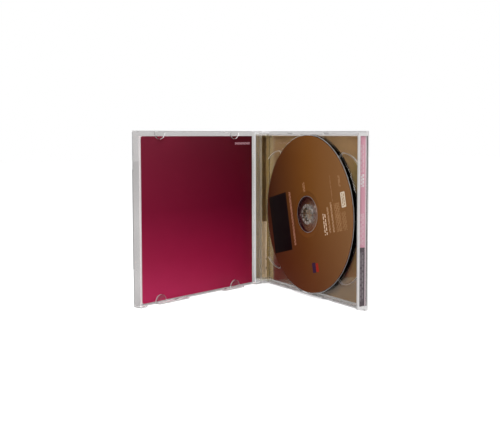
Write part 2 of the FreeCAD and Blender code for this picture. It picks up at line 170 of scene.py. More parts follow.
# Card's inner side: where its colours change, as the two ends of a soft step
REDDISH_UP = (18.0, 40.0)
REDDISH_ALONG = (20.0, 60.0)
OLIVE_ALONG = (112.0, 124.0)
OLIVE_STARTS_UP = (12.0, 22.0)
OLIVE_ENDS_UP = (100.0, 112.0)
# Painted shade in the card's low far corner
LOW_SHADE_UP = (15.0, 45.0)
LOW_SHADE_ALONG = (80.0, 110.0)
INK_EDGE = 0.1
# The fold is painted: shade above a height, and light below it
OLIVE_GREY_END = 10.7
FOLD_END = 1.0
FOLD_FRONT = 0.4
PAINTED_LIGHT_BELOW = 50.4
# A pale line painted on the left flap as a highlight
FLAP_PAINTED_HIGHLIGHT = (-0.1, MIDDLE, 0.5, MIDDLE, 0.1, 1.0, (240, 222, 200))

# Card's outer side: the spines' rows, and rows and a pale box on the back
SPINE_COLOUR_CHANGE = 44.4
SPINE_PRINT_BACK = 2.65
SPINE_ROWS = (
    (0.2, 106.0, 1.6, 9.5, 1.6, 0.6, 3.2, 0.7, (250, 226, 234)),
    (0.2, 90.9, 1.6, 4.4, 1.6, 0.92, 2.4, 0.95, (255, 250, 252)),
    (0.2, 57.2, 1.6, 10.8, 1.6, 0.6, 3.2, 0.7, (250, 226, 234)),
    (0.2, 24.0, 1.6, 17.0, 1.6, 0.6, 4.0, 0.7, (176, 166, 172)),
)
BACK_ROWS = (
    (84.0, 40.0, 24.0, 24.0, 4.4, 0.32, 14.0, 1.0, (250, 226, 234)),
    (84.0, 98.0, 24.0, 20.0, 4.4, 0.32, 14.0, 1.0, (250, 226, 234)),
)
BACK_BOX = (22.0, 18.0, 15.0, 9.0, 0.5, 1.0, (216, 208, 210))

# Mouldings: faces narrower than the edge width are the clear plastic's narrow edges, rough and painted pale
# as a glow of caught light.
# The two numbers are the places of their looks in a moulding's list of materials.
EDGE_WIDTH = 1.3
STRIP_EDGE_WIDTH = 0.45
SMOOTH_ANGLE = math.radians(25)
WELD = 0.002
EDGE, SPINE_GLOW_ZONE = 1, 2

# Base: the right spine's faces, and the label's edges on them
BASE_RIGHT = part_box("base")[1].x / MM
SPINE_FACE = BASE_RIGHT - 0.05
SPINE_ZONE_EDGES = (CARD_RIGHT_FRONT - 0.05, CARD_BACK - 0.05)
SPINE_ZONE_ENDS = (CARD_LOW, CARD_HIGH)

# Lid: where its walls begin behind its panel, and where its free end begins
LID_WALLS = (BOOKLET_OUTER + 0.1, BOOKLET_OUTER + 0.3)
LID_FREE_END = BOOKLET_END + 5.0

# Tray hinge strip: its right wall's face with the dimples painted dark as shade, and its corner frosted and
# painted pale as a highlight
STRIP_RIGHT = 5.1
STRIP_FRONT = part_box("tray_hinge_strip")[0].y / MM
STRIP_WALL = STRIP_RIGHT - 0.7
STRIP_HIGHLIGHT_FROM = STRIP_RIGHT - 2.2
STRIP_HIGHLIGHT_TO = STRIP_FRONT + 0.6
DIMPLES_FROM_MIDDLE = (MIDDLE - 12.8, MIDDLE - 20.3)
DIMPLE_RADIUS = 0.95

# Surroundings: how bright each kind of ray sees them
SEEN_BY_CAMERA = 1.0
SEEN_IN_GLASS = 0.86
AMBIENT = 0.55

# Floor and lamps, in metres: the floor changes from its look near the box to its look
# far off; each lamp has a name, a place, a size and a power in watts
FLOOR_SIZE = 6.0
FLOOR_DROP = 0.0001
FLOOR_CHANGE = (0.2, 0.5)
FLOOR_MATT = (0.6, 0.3)
FLOOR_GLOW_SEEN = (0.6, 0.9)
FLOOR_GLOW_IN_GLASS = (0.02, 0.55)
LAMPS = (
    ("key softbox", (0.55, -0.75, 0.75), 0.6, 9.0),
    ("top softbox", (0.1, -0.1, 1.0), 0.8, 7.0),
)
LAMP_AIM = (0.05, -0.04, 0.06)

# The photograph's camera: yaw, pitch and roll in degrees, and its place; focal length
# and shift are in the photograph's pixels
CAMERA_ANGLES = (58.312, 4.078, 0.086)
CAMERA_PLACE = (614.304, -353.531, 122.916)
PHOTO_WIDTH = 500
FOCAL_LENGTH = 862.469
PHOTO_SHIFT = (-40.0, -25.184)
SENSOR_WIDTH = 36.0

rng = random.Random(12)


class Wiring:
    """Short calls that add nodes to one tree and link them.

    Above, below, rises and falls take places in millimetres.
    """

    def __init__(self, tree):
        self.tree = tree

    def add(self, kind, **settings):
        node = self.tree.nodes.new(kind)
        for name, value in settings.items():
            setattr(node, name, value)
        return node

    def put(self, socket, value):
        if isinstance(value, bpy.types.NodeSocket):
            self.tree.links.new(value, socket)
        else:
            socket.default_value = value

    def math(self, operation, a, b=None, clamp=False):
        node = self.add("ShaderNodeMath", operation=operation, use_clamp=clamp)
        self.put(node.inputs[0], a)
        if b is not None:
            self.put(node.inputs[1], b)
        return node.outputs[0]

    def length(self, a, b):
        squares = (self.math("MULTIPLY", part, part) for part in (a, b))
        return self.math("SQRT", self.math("ADD", *squares))

    def above(self, value, place):
        return self.math("GREATER_THAN", value, place * MM)

    def below(self, value, place):
        return self.math("LESS_THAN", value, place * MM)

    def ramp(self, value, low, high, start=0.0, end=1.0):
        node = self.add("ShaderNodeMapRange", clamp=True)
        sockets = ("Value", "From Min", "From Max", "To Min", "To Max")
        for name, number in zip(sockets, (value, low, high, start, end)):
            self.put(node.inputs[name], number)
        return node.outputs["Result"]

    def rises(self, value, ends):
        return self.ramp(value, ends[0] * MM, ends[1] * MM)

    def falls(self, value, ends):
        return self.ramp(value, ends[0] * MM, ends[1] * MM, 1.0, 0.0)

    def mix(self, factor, a, b):
        node = self.add("ShaderNodeMix", data_type="RGBA")
        self.put(node.inputs["Factor"], factor)
        self.put(node.inputs["A"], a)
        self.put(node.inputs["B"], b)
        return node.outputs["Result"]

    def colour_ramp(self, value, stops):
        node = self.add("ShaderNodeValToRGB")
        self.put(node.inputs["Fac"], value)
        elements = node.color_ramp.elements
        for element, (position, colour) in zip(elements, (stops[0], stops[-1])):
            element.position, element.color = position, rgb(*colour)
        for position, colour in stops[1:-1]:
            elements.new(position).color = rgb(*colour)
        return node.outputs["Color"]

    def noise(self, vector, scale, detail=2.0, roughness=0.5):
        node = self.add("ShaderNodeTexNoise")
        self.put(node.inputs["Vector"], vector)
        self.put(node.inputs["Scale"], scale)
        self.put(node.inputs["Detail"], detail)
        self.put(node.inputs["Roughness"], roughness)
        return node.outputs["Fac"]

    def bump(self, height, strength, distance):
        node = self.add("ShaderNodeBump")
        self.put(node.inputs["Height"], height)
        self.put(node.inputs["Strength"], strength)
        self.put(node.inputs["Distance"], distance)
        return node.outputs["Normal"]

    def place(self, name, **values):
        node = self.add("ShaderNodeGroup", node_tree=bpy.data.node_groups[name])
        for key, value in values.items():
            self.put(node.inputs[key.replace("_", " ")], value)
        return node


def rgb(red, green, blue):
    """A colour as it looks on screen, 0 to 255, as the shader's linear value."""
    def linear(value):
        value /= 255.0
        return value / 12.92 if value <= 0.04045 else ((value + 0.055) / 1.055) ** 2.4

    return (linear(red), linear(green), linear(blue), 1.0)


def ink_edge(place):
    """The two ends of a sharp step in print."""
    return place - INK_EDGE, place + INK_EDGE


# Colours of the print
CARD_BROWN = rgb(128, 103, 72)
CARD_REDDISH = rgb(92, 46, 36)
CARD_OLIVE = rgb(106, 92, 58)
CARD_OLIVE_GREY = rgb(138, 117, 74)
CARD_FOLD_PAINTED_LIGHT = rgb(204, 186, 170)
CARD_FOLD_PAINTED_SHADE = rgb(97, 76, 50)
CARD_LOW_CORNER_SHADE = rgb(108, 86, 58)
SPINE_PINK = rgb(242, 178, 196)
SPINE_GREY = rgb(99, 86, 93)
SPINE_MARGIN = rgb(245, 225, 232)
COVER_MARGIN = rgb(222, 214, 216)
PAPER_WHITE = rgb(226, 218, 218)
LABEL_REDDER = rgb(84, 34, 22)

# Colours of the plastics
BASE_TINT = (0.74, 0.73, 0.725, 1)
LID_PANEL_TINT = (0.64, 0.62, 0.62, 1)
LID_WALL_TINT = (0.93, 0.92, 0.92, 1)
TRAY_TINT = (0.88, 0.86, 0.83, 1)
STRIP_TINT = (0.82, 0.79, 0.72, 1)
# dark painted into the strip's dimples as their shade
DIMPLE_PAINTED_SHADE = (0.12, 0.09, 0.06, 1)
# near-white tint painted on the strip's corner as a highlight
HIGHLIGHT_TINT = (1, 0.99, 0.99, 1)
SHADOW_TINT = (0.93, 0.93, 0.93, 1)
EDGE_SHADE = (0.4, 0.39, 0.39, 1)
DISC_TINT = (0.93, 0.93, 0.94, 1)
HUB_ZONE_TINT = (0.98, 0.93, 0.92, 1)

# Finishes: how rough polished and dull plastic is, how strong and deep the small marks
# are, and the dark and pale grey painted on the narrow faces as glow, and their touch of warmth
POLISHED = 0.004
DULLED = 0.7
PLASTIC_MARKS = 0.15
PAPER_MARKS = 0.03
MARK_DEPTH = 0.00002
EDGE_GLOW_GREYS = (0.72, 0.95)
EDGE_WARMTH = 0.98


def new_group(name, inputs, outputs):
    """An empty node group with named sockets, and the wiring of its inside."""
    tree = bpy.data.node_groups.new(name, "ShaderNodeTree")
    for label, kind, value in inputs:
        socket = tree.interface.new_socket(label, in_out="INPUT", socket_type=kind)
        if value is not None:
            socket.default_value = value
    for label, kind in outputs:
        tree.interface.new_socket(label, in_out="OUTPUT", socket_type=kind)
    wire = Wiring(tree)
    return wire, wire.add("NodeGroupInput").outputs, wire.add("NodeGroupOutput").inputs


FLOAT, VECTOR, COLOUR = "NodeSocketFloat", "NodeSocketVector", "NodeSocketColor"
FIELD_CORNER, FIELD_EDGE = 0.0001, 0.00008
FIELD_SOCKETS = [
    ("Across", FLOAT, 0.0), ("Up", FLOAT, 0.0), ("Centre Across", FLOAT, 0.0), ("Centre Up", FLOAT, 0.0),
    ("Tilt", FLOAT, 0.0), ("Half Width", FLOAT, 0.01), ("Half Height", FLOAT, 0.01),
]


def field_axes(wire, given):
    """Distances from a tilted field's centre, along its width and its height."""
    dx = wire.math("SUBTRACT", given["Across"], given["Centre Across"])
    dz = wire.math("SUBTRACT", given["Up"], given["Centre Up"])
    cos, sin = wire.math("COSINE", given["Tilt"]), wire.math("SINE", given["Tilt"])
    along = wire.math("ADD", wire.math("MULTIPLY", dx, cos), wire.math("MULTIPLY", dz, sin))
    rise = wire.math("SUBTRACT", wire.math("MULTIPLY", dz, cos), wire.math("MULTIPLY", dx, sin))
    return along, rise


def rounded_box_mask(wire, along, rise, given, corner, edge):
    """1 inside a rectangle with round corners, 0 outside, with a soft edge."""
    beyond = []
    for value, half in ((along, given["Half Width"]), (rise, given["Half Height"])):
        inner = wire.math("SUBTRACT", half, corner)
        past = wire.math("SUBTRACT", wire.math("ABSOLUTE", value), inner)
        beyond.append(wire.math("MAXIMUM", past, 0.0))
    distance = wire.math("SUBTRACT", wire.length(*beyond), corner)
    return wire.ramp(distance, wire.math("MULTIPLY", edge, -1.0), edge, 1.0, 0.0)


def group_printed_field():
    """Mask of a printed rectangle, tilted and with round corners."""
    sockets = FIELD_SOCKETS + [("Corner", FLOAT, FIELD_CORNER), ("Edge", FLOAT, FIELD_EDGE)]
    wire, given, out = new_group("printed_field", sockets, [("Mask", FLOAT)])
    along, rise = field_axes(wire, given)
    mask = rounded_box_mask(wire, along, rise, given, given["Corner"], given["Edge"])
    wire.put(out["Mask"], mask)


def group_printed_rows():
    """Mask of rows of short plain bars that fill a tilted rectangle."""
    sockets = FIELD_SOCKETS + [
        ("Row Pitch", FLOAT, 0.002), ("Row Fill", FLOAT, 0.4),
        ("Bar Pitch", FLOAT, 0.005), ("Seed", FLOAT, 0.0),
    ]
    wire, given, out = new_group("printed_rows", sockets, [("Mask", FLOAT)])
    along, rise = field_axes(wire, given)
    inside = rounded_box_mask(wire, along, rise, given, FIELD_CORNER, FIELD_EDGE)
    above_zero = 50.0
    row_spread, bar_spread = 0.618, 0.377
    row_edge = (0.42, 0.58)
    shortest_bar, longest_bar = 0.62, 0.9
    row = wire.math("ADD", wire.math("DIVIDE", along, given["Row Pitch"]), above_zero)
    in_row = wire.math("ABSOLUTE", wire.math("SUBTRACT", wire.math("FRACT", row), 0.5))
    row_ends = [wire.math("MULTIPLY", given["Row Fill"], share) for share in row_edge]
    row_mask = wire.ramp(in_row, *row_ends, 1.0, 0.0)
    number = wire.math("ADD", wire.math("FLOOR", row), given["Seed"])
    shift = wire.math("FRACT", wire.math("MULTIPLY", number, row_spread))
    bar = wire.math("DIVIDE", rise, given["Bar Pitch"])
    bar = wire.math("ADD", bar, wire.math("ADD", shift, above_zero))
    bar_length = wire.math("FRACT", wire.math("MULTIPLY", wire.math("FLOOR", bar), bar_spread))
    gap = wire.ramp(bar_length, 0.0, 1.0, shortest_bar, longest_bar)
    bar_mask = wire.math("LESS_THAN", wire.math("FRACT", bar), gap)
    wire.put(out["Mask"], wire.math("MULTIPLY", inside, wire.math("MULTIPLY", row_mask, bar_mask)))


def group_handling_wear():
    """Faint cloudy smears and hairline scratches on a glossy surface."""
    wire, given, out = new_group(
        "handling_wear",
        [("Vector", VECTOR, None), ("Base Roughness", FLOAT, 0.05),
         ("Smear", FLOAT, 0.05), ("Scratch", FLOAT, 0.5)],
        [("Roughness", FLOAT), ("Height", FLOAT)],
    )
    stretch = (18.0, 2600.0, 2600.0)
    smear_step, scratch_step = (0.42, 0.72), (0.74, 0.80)
    scratch_roughness = 0.12
    cloud = wire.ramp(wire.noise(given["Vector"], 45.0, 4.0, 0.6), *smear_step)
    scratches = None
    for turn, seed in ((0.35, 0.0), (1.2, 3.7), (2.35, 8.1)):
        turned = wire.add("ShaderNodeVectorRotate", rotation_type="EULER_XYZ")
        wire.put(turned.inputs["Vector"], given["Vector"])
        turned.inputs["Rotation"].default_value = (turn, turn * 0.6, turn * 1.7)
        stretched = wire.add("ShaderNodeMapping")
        wire.put(stretched.inputs["Vector"], turned.outputs["Vector"])
        stretched.inputs["Location"].default_value = (seed, seed, seed)
        stretched.inputs["Scale"].default_value = stretch
        line = wire.ramp(wire.noise(stretched.outputs["Vector"], 1.0, 1.0), *scratch_step)
        scratches = line if scratches is None else wire.math("MAXIMUM", scratches, line)
    scratches = wire.math("MULTIPLY", scratches, given["Scratch"])
    rough = wire.math("ADD", given["Base Roughness"], wire.math("MULTIPLY", cloud, given["Smear"]))
    rough = wire.math("ADD", rough, wire.math("MULTIPLY", scratches, scratch_roughness))
    wire.put(out["Roughness"], rough)
    wire.put(out["Height"], wire.math("MULTIPLY", scratches, -1.0))


def group_paper_tooth():
    """Fine fibres and slight mottling of coated paper or ink."""
    wire, given, out = new_group(
        "paper_tooth",
        [("Vector", VECTOR, None), ("Colour", COLOUR, (1, 1, 1, 1)), ("Mottle", FLOAT, 0.06)],
        [("Colour", COLOUR), ("Height", FLOAT)],
    )
    fine = wire.noise(given["Vector"], 2400.0, 3.0, 0.6)
    broad = wire.noise(given["Vector"], 70.0, 3.0, 0.5)
    shade = wire.math("ADD", wire.math("MULTIPLY", fine, 0.5), wire.math("MULTIPLY", broad, 0.5))
    amount = wire.math("MULTIPLY", wire.ramp(shade, 0.35, 0.65), given["Mottle"])
    wire.put(out["Colour"], wire.mix(amount, given["Colour"], (0, 0, 0, 1)))
    wire.put(out["Height"], fine)


def new_material(name):
    """An empty node material, and its wiring and output."""
    material = bpy.data.materials.new(name)
    material.use_nodes = True
    material.node_tree.nodes.clear()
    wire = Wiring(material.node_tree)
    return material, wire, wire.add("ShaderNodeOutputMaterial").inputs["Surface"]


def object_place(wire, turn=0.0):
    """Object coordinates, turned about Z, and their three parts."""
    coordinates = wire.add("ShaderNodeTexCoord").outputs["Object"]
    turned = wire.add("ShaderNodeVectorRotate", rotation_type="Z_AXIS")
    wire.put(turned.inputs["Vector"], coordinates)
    turned.inputs["Angle"].default_value = turn
    parts = wire.add("ShaderNodeSeparateXYZ")
    wire.put(parts.inputs["Vector"], turned.outputs["Vector"])
    return turned.outputs["Vector"], parts.outputs


def clear_styrene(name, tint, frost_and_highlight=None, index=1.58, smear=0.012, scratch=0.04):
    """Clear moulded plastic that lets lamps through, with smears and scratches."""
    material, wire, surface = new_material(name)
    place, _ = object_place(wire)
    wear = wire.place("handling_wear", Vector=place, Base_Roughness=POLISHED, Smear=smear, Scratch=scratch)
    shader = wire.add("ShaderNodeBsdfPrincipled")
    colour, roughness = tint(wire) if callable(tint) else tint, wear.outputs["Roughness"]
    # where the mask is 1 the plastic is frosted and its tint painted pale as a highlight
    if frost_and_highlight:
        mask = frost_and_highlight(wire)
        colour = wire.mix(mask, colour, HIGHLIGHT_TINT)
        roughness = wire.math("MAXIMUM", roughness, wire.math("MULTIPLY", mask, DULLED))
    wire.put(shader.inputs["Base Color"], colour)
    wire.put(shader.inputs["Roughness"], roughness)
    shader.inputs["IOR"].default_value = index
    shader.inputs["Transmission Weight"].default_value = 1.0
    wire.put(shader.inputs["Normal"], wire.bump(wear.outputs["Height"], PLASTIC_MARKS, MARK_DEPTH))
    through = wire.add("ShaderNodeBsdfTransparent")
    through.inputs["Color"].default_value = SHADOW_TINT
    both = wire.add("ShaderNodeMixShader")
    wire.put(both.inputs[0], wire.add("ShaderNodeLightPath").outputs["Is Shadow Ray"])
    wire.put(both.inputs[1], shader.outputs[0])
    wire.put(both.inputs[2], through.outputs[0])
    wire.put(surface, both.outputs[0])
    return material


def strip_tint(wire):
    """The hinge strip is slightly yellowish, with its dimples in its right wall painted dark as shade."""
    _, (along, out_of, up) = object_place(wire)
    from_middle = wire.math("ABSOLUTE", wire.math("SUBTRACT", up, MIDDLE * MM))
    dimples = None
    for distance in DIMPLES_FROM_MIDDLE:
        rise = wire.math("SUBTRACT", from_middle, distance * MM)
        dot = wire.below(wire.length(rise, out_of), DIMPLE_RADIUS)
        dimples = dot if dimples is None else wire.math("MAXIMUM", dimples, dot)
    in_wall = wire.above(along, STRIP_WALL)
    # the dimples get painted shade
    return wire.mix(wire.math("MULTIPLY", dimples, in_wall), STRIP_TINT, DIMPLE_PAINTED_SHADE)


def strip_corner_highlight(wire):
    """The strip's right front corner, frosted and painted pale as a highlight."""
    _, (along, out_of, _) = object_place(wire)
    return wire.math("MULTIPLY", wire.above(along, STRIP_HIGHLIGHT_FROM), wire.below(out_of, STRIP_HIGHLIGHT_TO))


def lid_tint(wire):
    """The lid's panel is greyer than its walls and tabs, which stand behind it."""
    _, (_, out_of, _) = object_place(wire, OPEN_ANGLE)
    return wire.mix(wire.rises(out_of, LID_WALLS), LID_PANEL_TINT, LID_WALL_TINT)


def free_end(wire):
    """The lid's free end, whose edge is darker than its other edges."""
    _, (along, _, _) = object_place(wire, OPEN_ANGLE)
    return wire.above(along, LID_FREE_END)


def painted_edge_glow(name, clear, shade=None, tone=1.0):
    """The narrow faces' rough look, painted pale grey as a glow of caught light, more or less clear."""
    material, wire, surface = new_material(name)
    place, _ = object_place(wire)
    cloud = wire.noise(place, 320.0, 3.0, 0.6)
    shader = wire.add("ShaderNodeBsdfPrincipled")
    # the pale grey is painted glow: the light caught in the clear plastic's edges
    greys = (grey * tone for grey in EDGE_GLOW_GREYS)
    dark, pale = ((grey, grey * EDGE_WARMTH, grey * EDGE_WARMTH, 1) for grey in greys)
    colour = wire.mix(cloud, dark, pale)
    if shade:
        colour = wire.mix(shade(wire), colour, EDGE_SHADE)
    wire.put(shader.inputs["Base Color"], colour)
    wire.put(shader.inputs["Roughness"], wire.ramp(cloud, 0.3, 0.7, 0.35, 0.55))
    shader.inputs["IOR"].default_value = 1.5
    shader.inputs["Transmission Weight"].default_value = clear
    wire.put(surface, shader.outputs[0])
    return material


def printed_paper(wire, surface, tooth, roughness, gloss):
    """Print or bare paper: its colour and tooth, with little or no gloss."""
    shader = wire.add("ShaderNodeBsdfPrincipled")
    wire.put(shader.inputs["Base Color"], tooth.outputs["Colour"])
    wire.put(shader.inputs["Normal"], wire.bump(tooth.outputs["Height"], PAPER_MARKS, MARK_DEPTH))
    shader.inputs["Roughness"].default_value = roughness
    shader.inputs["Specular IOR Level"].default_value = gloss
    wire.put(surface, shader.outputs[0])


def block_mask(wire, group, across, up, spot, **more):
    """Mask of a printed block, from its centre and half sizes in millimetres."""
    names = ("Centre_Across", "Centre_Up", "Half_Width", "Half_Height")
    sizes = {name: number * MM for name, number in zip(names, spot)}
    return wire.place(group, Across=across, Up=up, **sizes, **more).outputs["Mask"]


def print_over(wire, colour, ink, mask, strength, where):
    """Ink over a colour, as strong as two masks and its own strength allow."""
    amount = wire.math("MULTIPLY", where, strength)
    return wire.mix(wire.math("MULTIPLY", mask, amount), colour, rgb(*ink))


def add_field(wire, across, up, colour, field, where=1.0, tilt=0.0):
    """A printed field over a colour, only where a mask is 1."""
    *spot, corner, strength, ink = field
    mask = block_mask(wire, "printed_field", across, up, spot, Corner=corner * MM, Tilt=tilt)
    return print_over(wire, colour, ink, mask, strength, where)


def add_rows(wire, across, up, colour, rows, where=1.0, tilt=0.0, seed=0.0):
    """Rows of plain bars over a colour, only where a mask is 1."""
    *spot, pitch, fill, bar, strength, ink = rows
    mask = block_mask(wire, "printed_rows", across, up, spot, Row_Pitch=pitch * MM, Row_Fill=fill,
                      Bar_Pitch=bar * MM, Tilt=tilt, Seed=seed)
    return print_over(wire, colour, ink, mask, strength, where)


def booklet_cover_print():
    """Wine red that brightens to crimson downwards, with a white margin and plain marks."""
    material, wire, surface = new_material("booklet_cover_print")
    place, (along, out_of, up) = object_place(wire, OPEN_ANGLE)
    rise = wire.rises(up, (BOOKLET_LOW, BOOKLET_HIGH))
    side = wire.rises(along, (BOOKLET_START, BOOKLET_END))
    red = wire.mix(side, wire.colour_ramp(rise, COVER_FOLD_TONES), wire.colour_ramp(rise, COVER_END_TONES))
    spot = (
        (PRINT_END + PRINT_START) / 2, (BOOKLET_LOW + BOOKLET_HIGH) / 2,
        (PRINT_END - PRINT_START) / 2, (BOOKLET_HIGH - BOOKLET_LOW) / 2 - PRINT_MARGIN,
    )
    field = block_mask(wire, "printed_field", along, up, spot, Corner=PRINT_CORNER * MM)
    colour = wire.mix(field, COVER_MARGIN, red)
    inner_face = wire.above(out_of, BOOKLET_MIDDLE)
    outer_face = wire.math("SUBTRACT", 1.0, inner_face)
    colour = add_rows(wire, along, up, colour, COVER_INNER_ROWS, inner_face)
    colour = add_field(wire, along, up, colour, COVER_OUTER_FIELD, outer_face)
    colour = add_rows(wire, up, along, colour, COVER_OUTER_ROWS, outer_face)
    tooth = wire.place("paper_tooth", Vector=place, Colour=colour, Mottle=0.05)
    printed_paper(wire, surface, tooth, roughness=0.32, gloss=0.08)
    return material


def paper_edge():
    """White uncoated edges and inner pages."""
    material, wire, surface = new_material("paper_edge")
    place, _ = object_place(wire)
    tooth = wire.place("paper_tooth", Vector=place, Colour=PAPER_WHITE, Mottle=0.1)
    printed_paper(wire, surface, tooth, roughness=0.65, gloss=0.1)
    return material


def card_inner_print():
    """The inlay card's inner side: brown, olive grey beside the hinge; painted shade and painted light at
    its fold, painted shade in its low far corner, and a painted highlight line on its left flap.
    """
    material, wire, surface = new_material("card_inner_print")
    place, (along, out_of, up) = object_place(wire)
    low_near = wire.math("MULTIPLY", wire.falls(up, REDDISH_UP), wire.falls(along, REDDISH_ALONG))
    colour = wire.mix(low_near, CARD_BROWN, CARD_REDDISH)
    half_way_up = wire.math("MULTIPLY", wire.rises(up, OLIVE_STARTS_UP), wire.falls(up, OLIVE_ENDS_UP))
    far_side = wire.math("MULTIPLY", half_way_up, wire.rises(along, OLIVE_ALONG))
    colour = wire.mix(far_side, colour, CARD_OLIVE)
    # painted shade in the low far corner
    low_far_shade = wire.math("MULTIPLY", wire.falls(up, LOW_SHADE_UP), wire.rises(along, LOW_SHADE_ALONG))
    colour = wire.mix(low_far_shade, colour, CARD_LOW_CORNER_SHADE)
    colour = wire.mix(wire.falls(along, ink_edge(OLIVE_GREY_END)), colour, CARD_OLIVE_GREY)
    fold = wire.math("MULTIPLY", wire.below(along, FOLD_END), wire.above(out_of, FOLD_FRONT))
    # painted shade on the fold, with painted light below a height
    colour = wire.mix(fold, colour, wire.mix(wire.below(up, PAINTED_LIGHT_BELOW), CARD_FOLD_PAINTED_SHADE, CARD_FOLD_PAINTED_LIGHT))
    # painted highlight line on the left flap
    colour = add_field(wire, out_of, up, colour, FLAP_PAINTED_HIGHLIGHT, wire.below(along, CARD_LEFT + FOLD_END))
    tooth = wire.place("paper_tooth", Vector=place, Colour=colour, Mottle=0.05)
    printed_paper(wire, surface, tooth, roughness=0.4, gloss=0.1)
    return material


def card_outer_print():
    """The inlay card's outer side and spines: pink over grey, with plain bars."""
    material, wire, surface = new_material("card_outer_print")
    place, (along, out_of, up) = object_place(wire)
    colour = wire.mix(wire.rises(up, ink_edge(SPINE_COLOUR_CHANGE)), SPINE_GREY, SPINE_PINK)
    for rows in SPINE_ROWS:
        colour = add_rows(wire, out_of, up, colour, rows)
    outside = wire.above(out_of, CARD_BACK - CARD_THICKNESS)
    for rows in BACK_ROWS:
        colour = add_rows(wire, up, along, colour, rows, outside)
    colour = add_field(wire, along, up, colour, BACK_BOX, outside)
    on_spine = wire.above(along, CARD_RIGHT - CARD_THICKNESS)
    margin = wire.math("MULTIPLY", wire.rises(out_of, ink_edge(SPINE_PRINT_BACK)), on_spine)
    colour = wire.mix(margin, colour, SPINE_MARGIN)
    tooth = wire.place("paper_tooth", Vector=place, Colour=colour, Mottle=0.06)
    printed_paper(wire, surface, tooth, roughness=0.4, gloss=0.15)
    return material


def front_label(wire, across, up, colour):
    """The front label's fields and rows of plain bars, over its colour."""
    colour = add_field(wire, across, up, colour, DARK_FIELD, tilt=LABEL_TILT)
    for seed, rows in enumerate(LABEL_ROWS):
        colour = add_rows(wire, across, up, colour, rows, tilt=LABEL_TILT, seed=float(seed))
    colour = add_field(wire, across, up, colour, PALE_BOX, tilt=LABEL_TILT)
    colour = add_rows(wire, across, up, colour, PALE_BOX_ROWS, tilt=LABEL_TILT)
    for half in BADGE_HALVES:
        colour = add_field(wire, across, up, colour, half, tilt=LABEL_TILT)
    return colour


def disc_label_print(name, shown):
    """Matt bronze ink, darker towards the hinge side as painted shade; the front disc's label has its
    fields and rows.
    """
    material, wire, surface = new_material(name)
    place, (across, _, up) = object_place(wire)
    # the ink darkens towards the hinge side as painted shade of the lid
    tone = wire.rises(across, (DISC_X - DISC_RADIUS, DISC_X + DISC_RADIUS))
    low, high = (height * MM for height in REDDER_UP)
    redder_up = wire.ramp(up, low, high, REDDER_STRENGTH, 0.0)
    redder_across = wire.ramp(tone, *REDDER_ACROSS, 1.0, REDDER_FAR_SHARE)
    redder = wire.math("MULTIPLY", redder_up, redder_across)
    colour = wire.mix(redder, wire.colour_ramp(tone, LABEL_INK_AND_SHADE_TONES), LABEL_REDDER)
    if shown:
        colour = front_label(wire, across, up, colour)
    tooth = wire.place("paper_tooth", Vector=place, Colour=colour, Mottle=0.04)
    printed_paper(wire, surface, tooth, roughness=0.4, gloss=0.01)
    return material


def disc_mirror():
    """The data side: mirror metal whose glints are drawn out."""
    material, wire, surface = new_material("disc_mirror")
    shader = wire.add("ShaderNodeBsdfPrincipled")
    shader.inputs["Base Color"].default_value = rgb(128, 126, 128)
    shader.inputs["Metallic"].default_value = 1.0
    shader.inputs["Roughness"].default_value = 0.08
    shader.inputs["Anisotropic"].default_value = 0.7
    wire.put(surface, shader.outputs[0])
    return material


def staple_steel():
    """Bright drawn wire."""
    material, wire, surface = new_material("staple_steel")
    place, _ = object_place(wire)
    shader = wire.add("ShaderNodeBsdfPrincipled")
    shader.inputs["Base Color"].default_value = rgb(186, 186, 190)
    shader.inputs["Metallic"].default_value = 1.0
    wire.put(shader.inputs["Roughness"], wire.ramp(wire.noise(place, 900.0), 0.3, 0.7, 0.22, 0.4))
    wire.put(surface, shader.outputs[0])
    return material


def mesh_piece(name, build, materials, body, slot, *nodes):
    """A piece from a bmesh, dressed, riding on its body and standing for nodes."""
    mesh = bpy.data.meshes.new(name)
    shape = bmesh.new()
    build(shape)
    bmesh.ops.recalc_face_normals(shape, faces=shape.faces)
    shape.to_mesh(mesh)
    shape.free()
    for material in materials:
        mesh.materials.append(material)
    piece = bpy.data.objects.new(name, mesh)
    bpy.context.collection.objects.link(piece)
    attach(piece, body)
    if nodes:
        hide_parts(*nodes)
    return piece


def smooth_below(piece, degrees):
    """Smooth shading, with edges sharper than this kept."""
    for face in piece.data.polygons:
        face.use_smooth = True
    piece.data.set_sharp_from_angle(angle=math.radians(degrees))


def on_lid(along, out_of, up):
    """A point given along the shut lid, in the open lid's place."""
    cos, sin = math.cos(OPEN_ANGLE), math.sin(OPEN_ANGLE)
    return Vector((along * cos + out_of * sin, -along * sin + out_of * cos, up)) * MM


def folded_outline(mid_line, thickness):
    """The two faces of a sheet of this thickness along a middle line."""
    left, right = [], []
    for k, (x, y) in enumerate(mid_line):
        x0, y0 = mid_line[max(k - 1, 0)]
        x1, y1 = mid_line[min(k + 1, len(mid_line) - 1)]
        length = math.hypot(x1 - x0, y1 - y0)
        nx, ny = -(y1 - y0) / length, (x1 - x0) / length
        left.append((x + nx * thickness / 2, y + ny * thickness / 2))
        right.append((x - nx * thickness / 2, y - ny * thickness / 2))
    return left, right


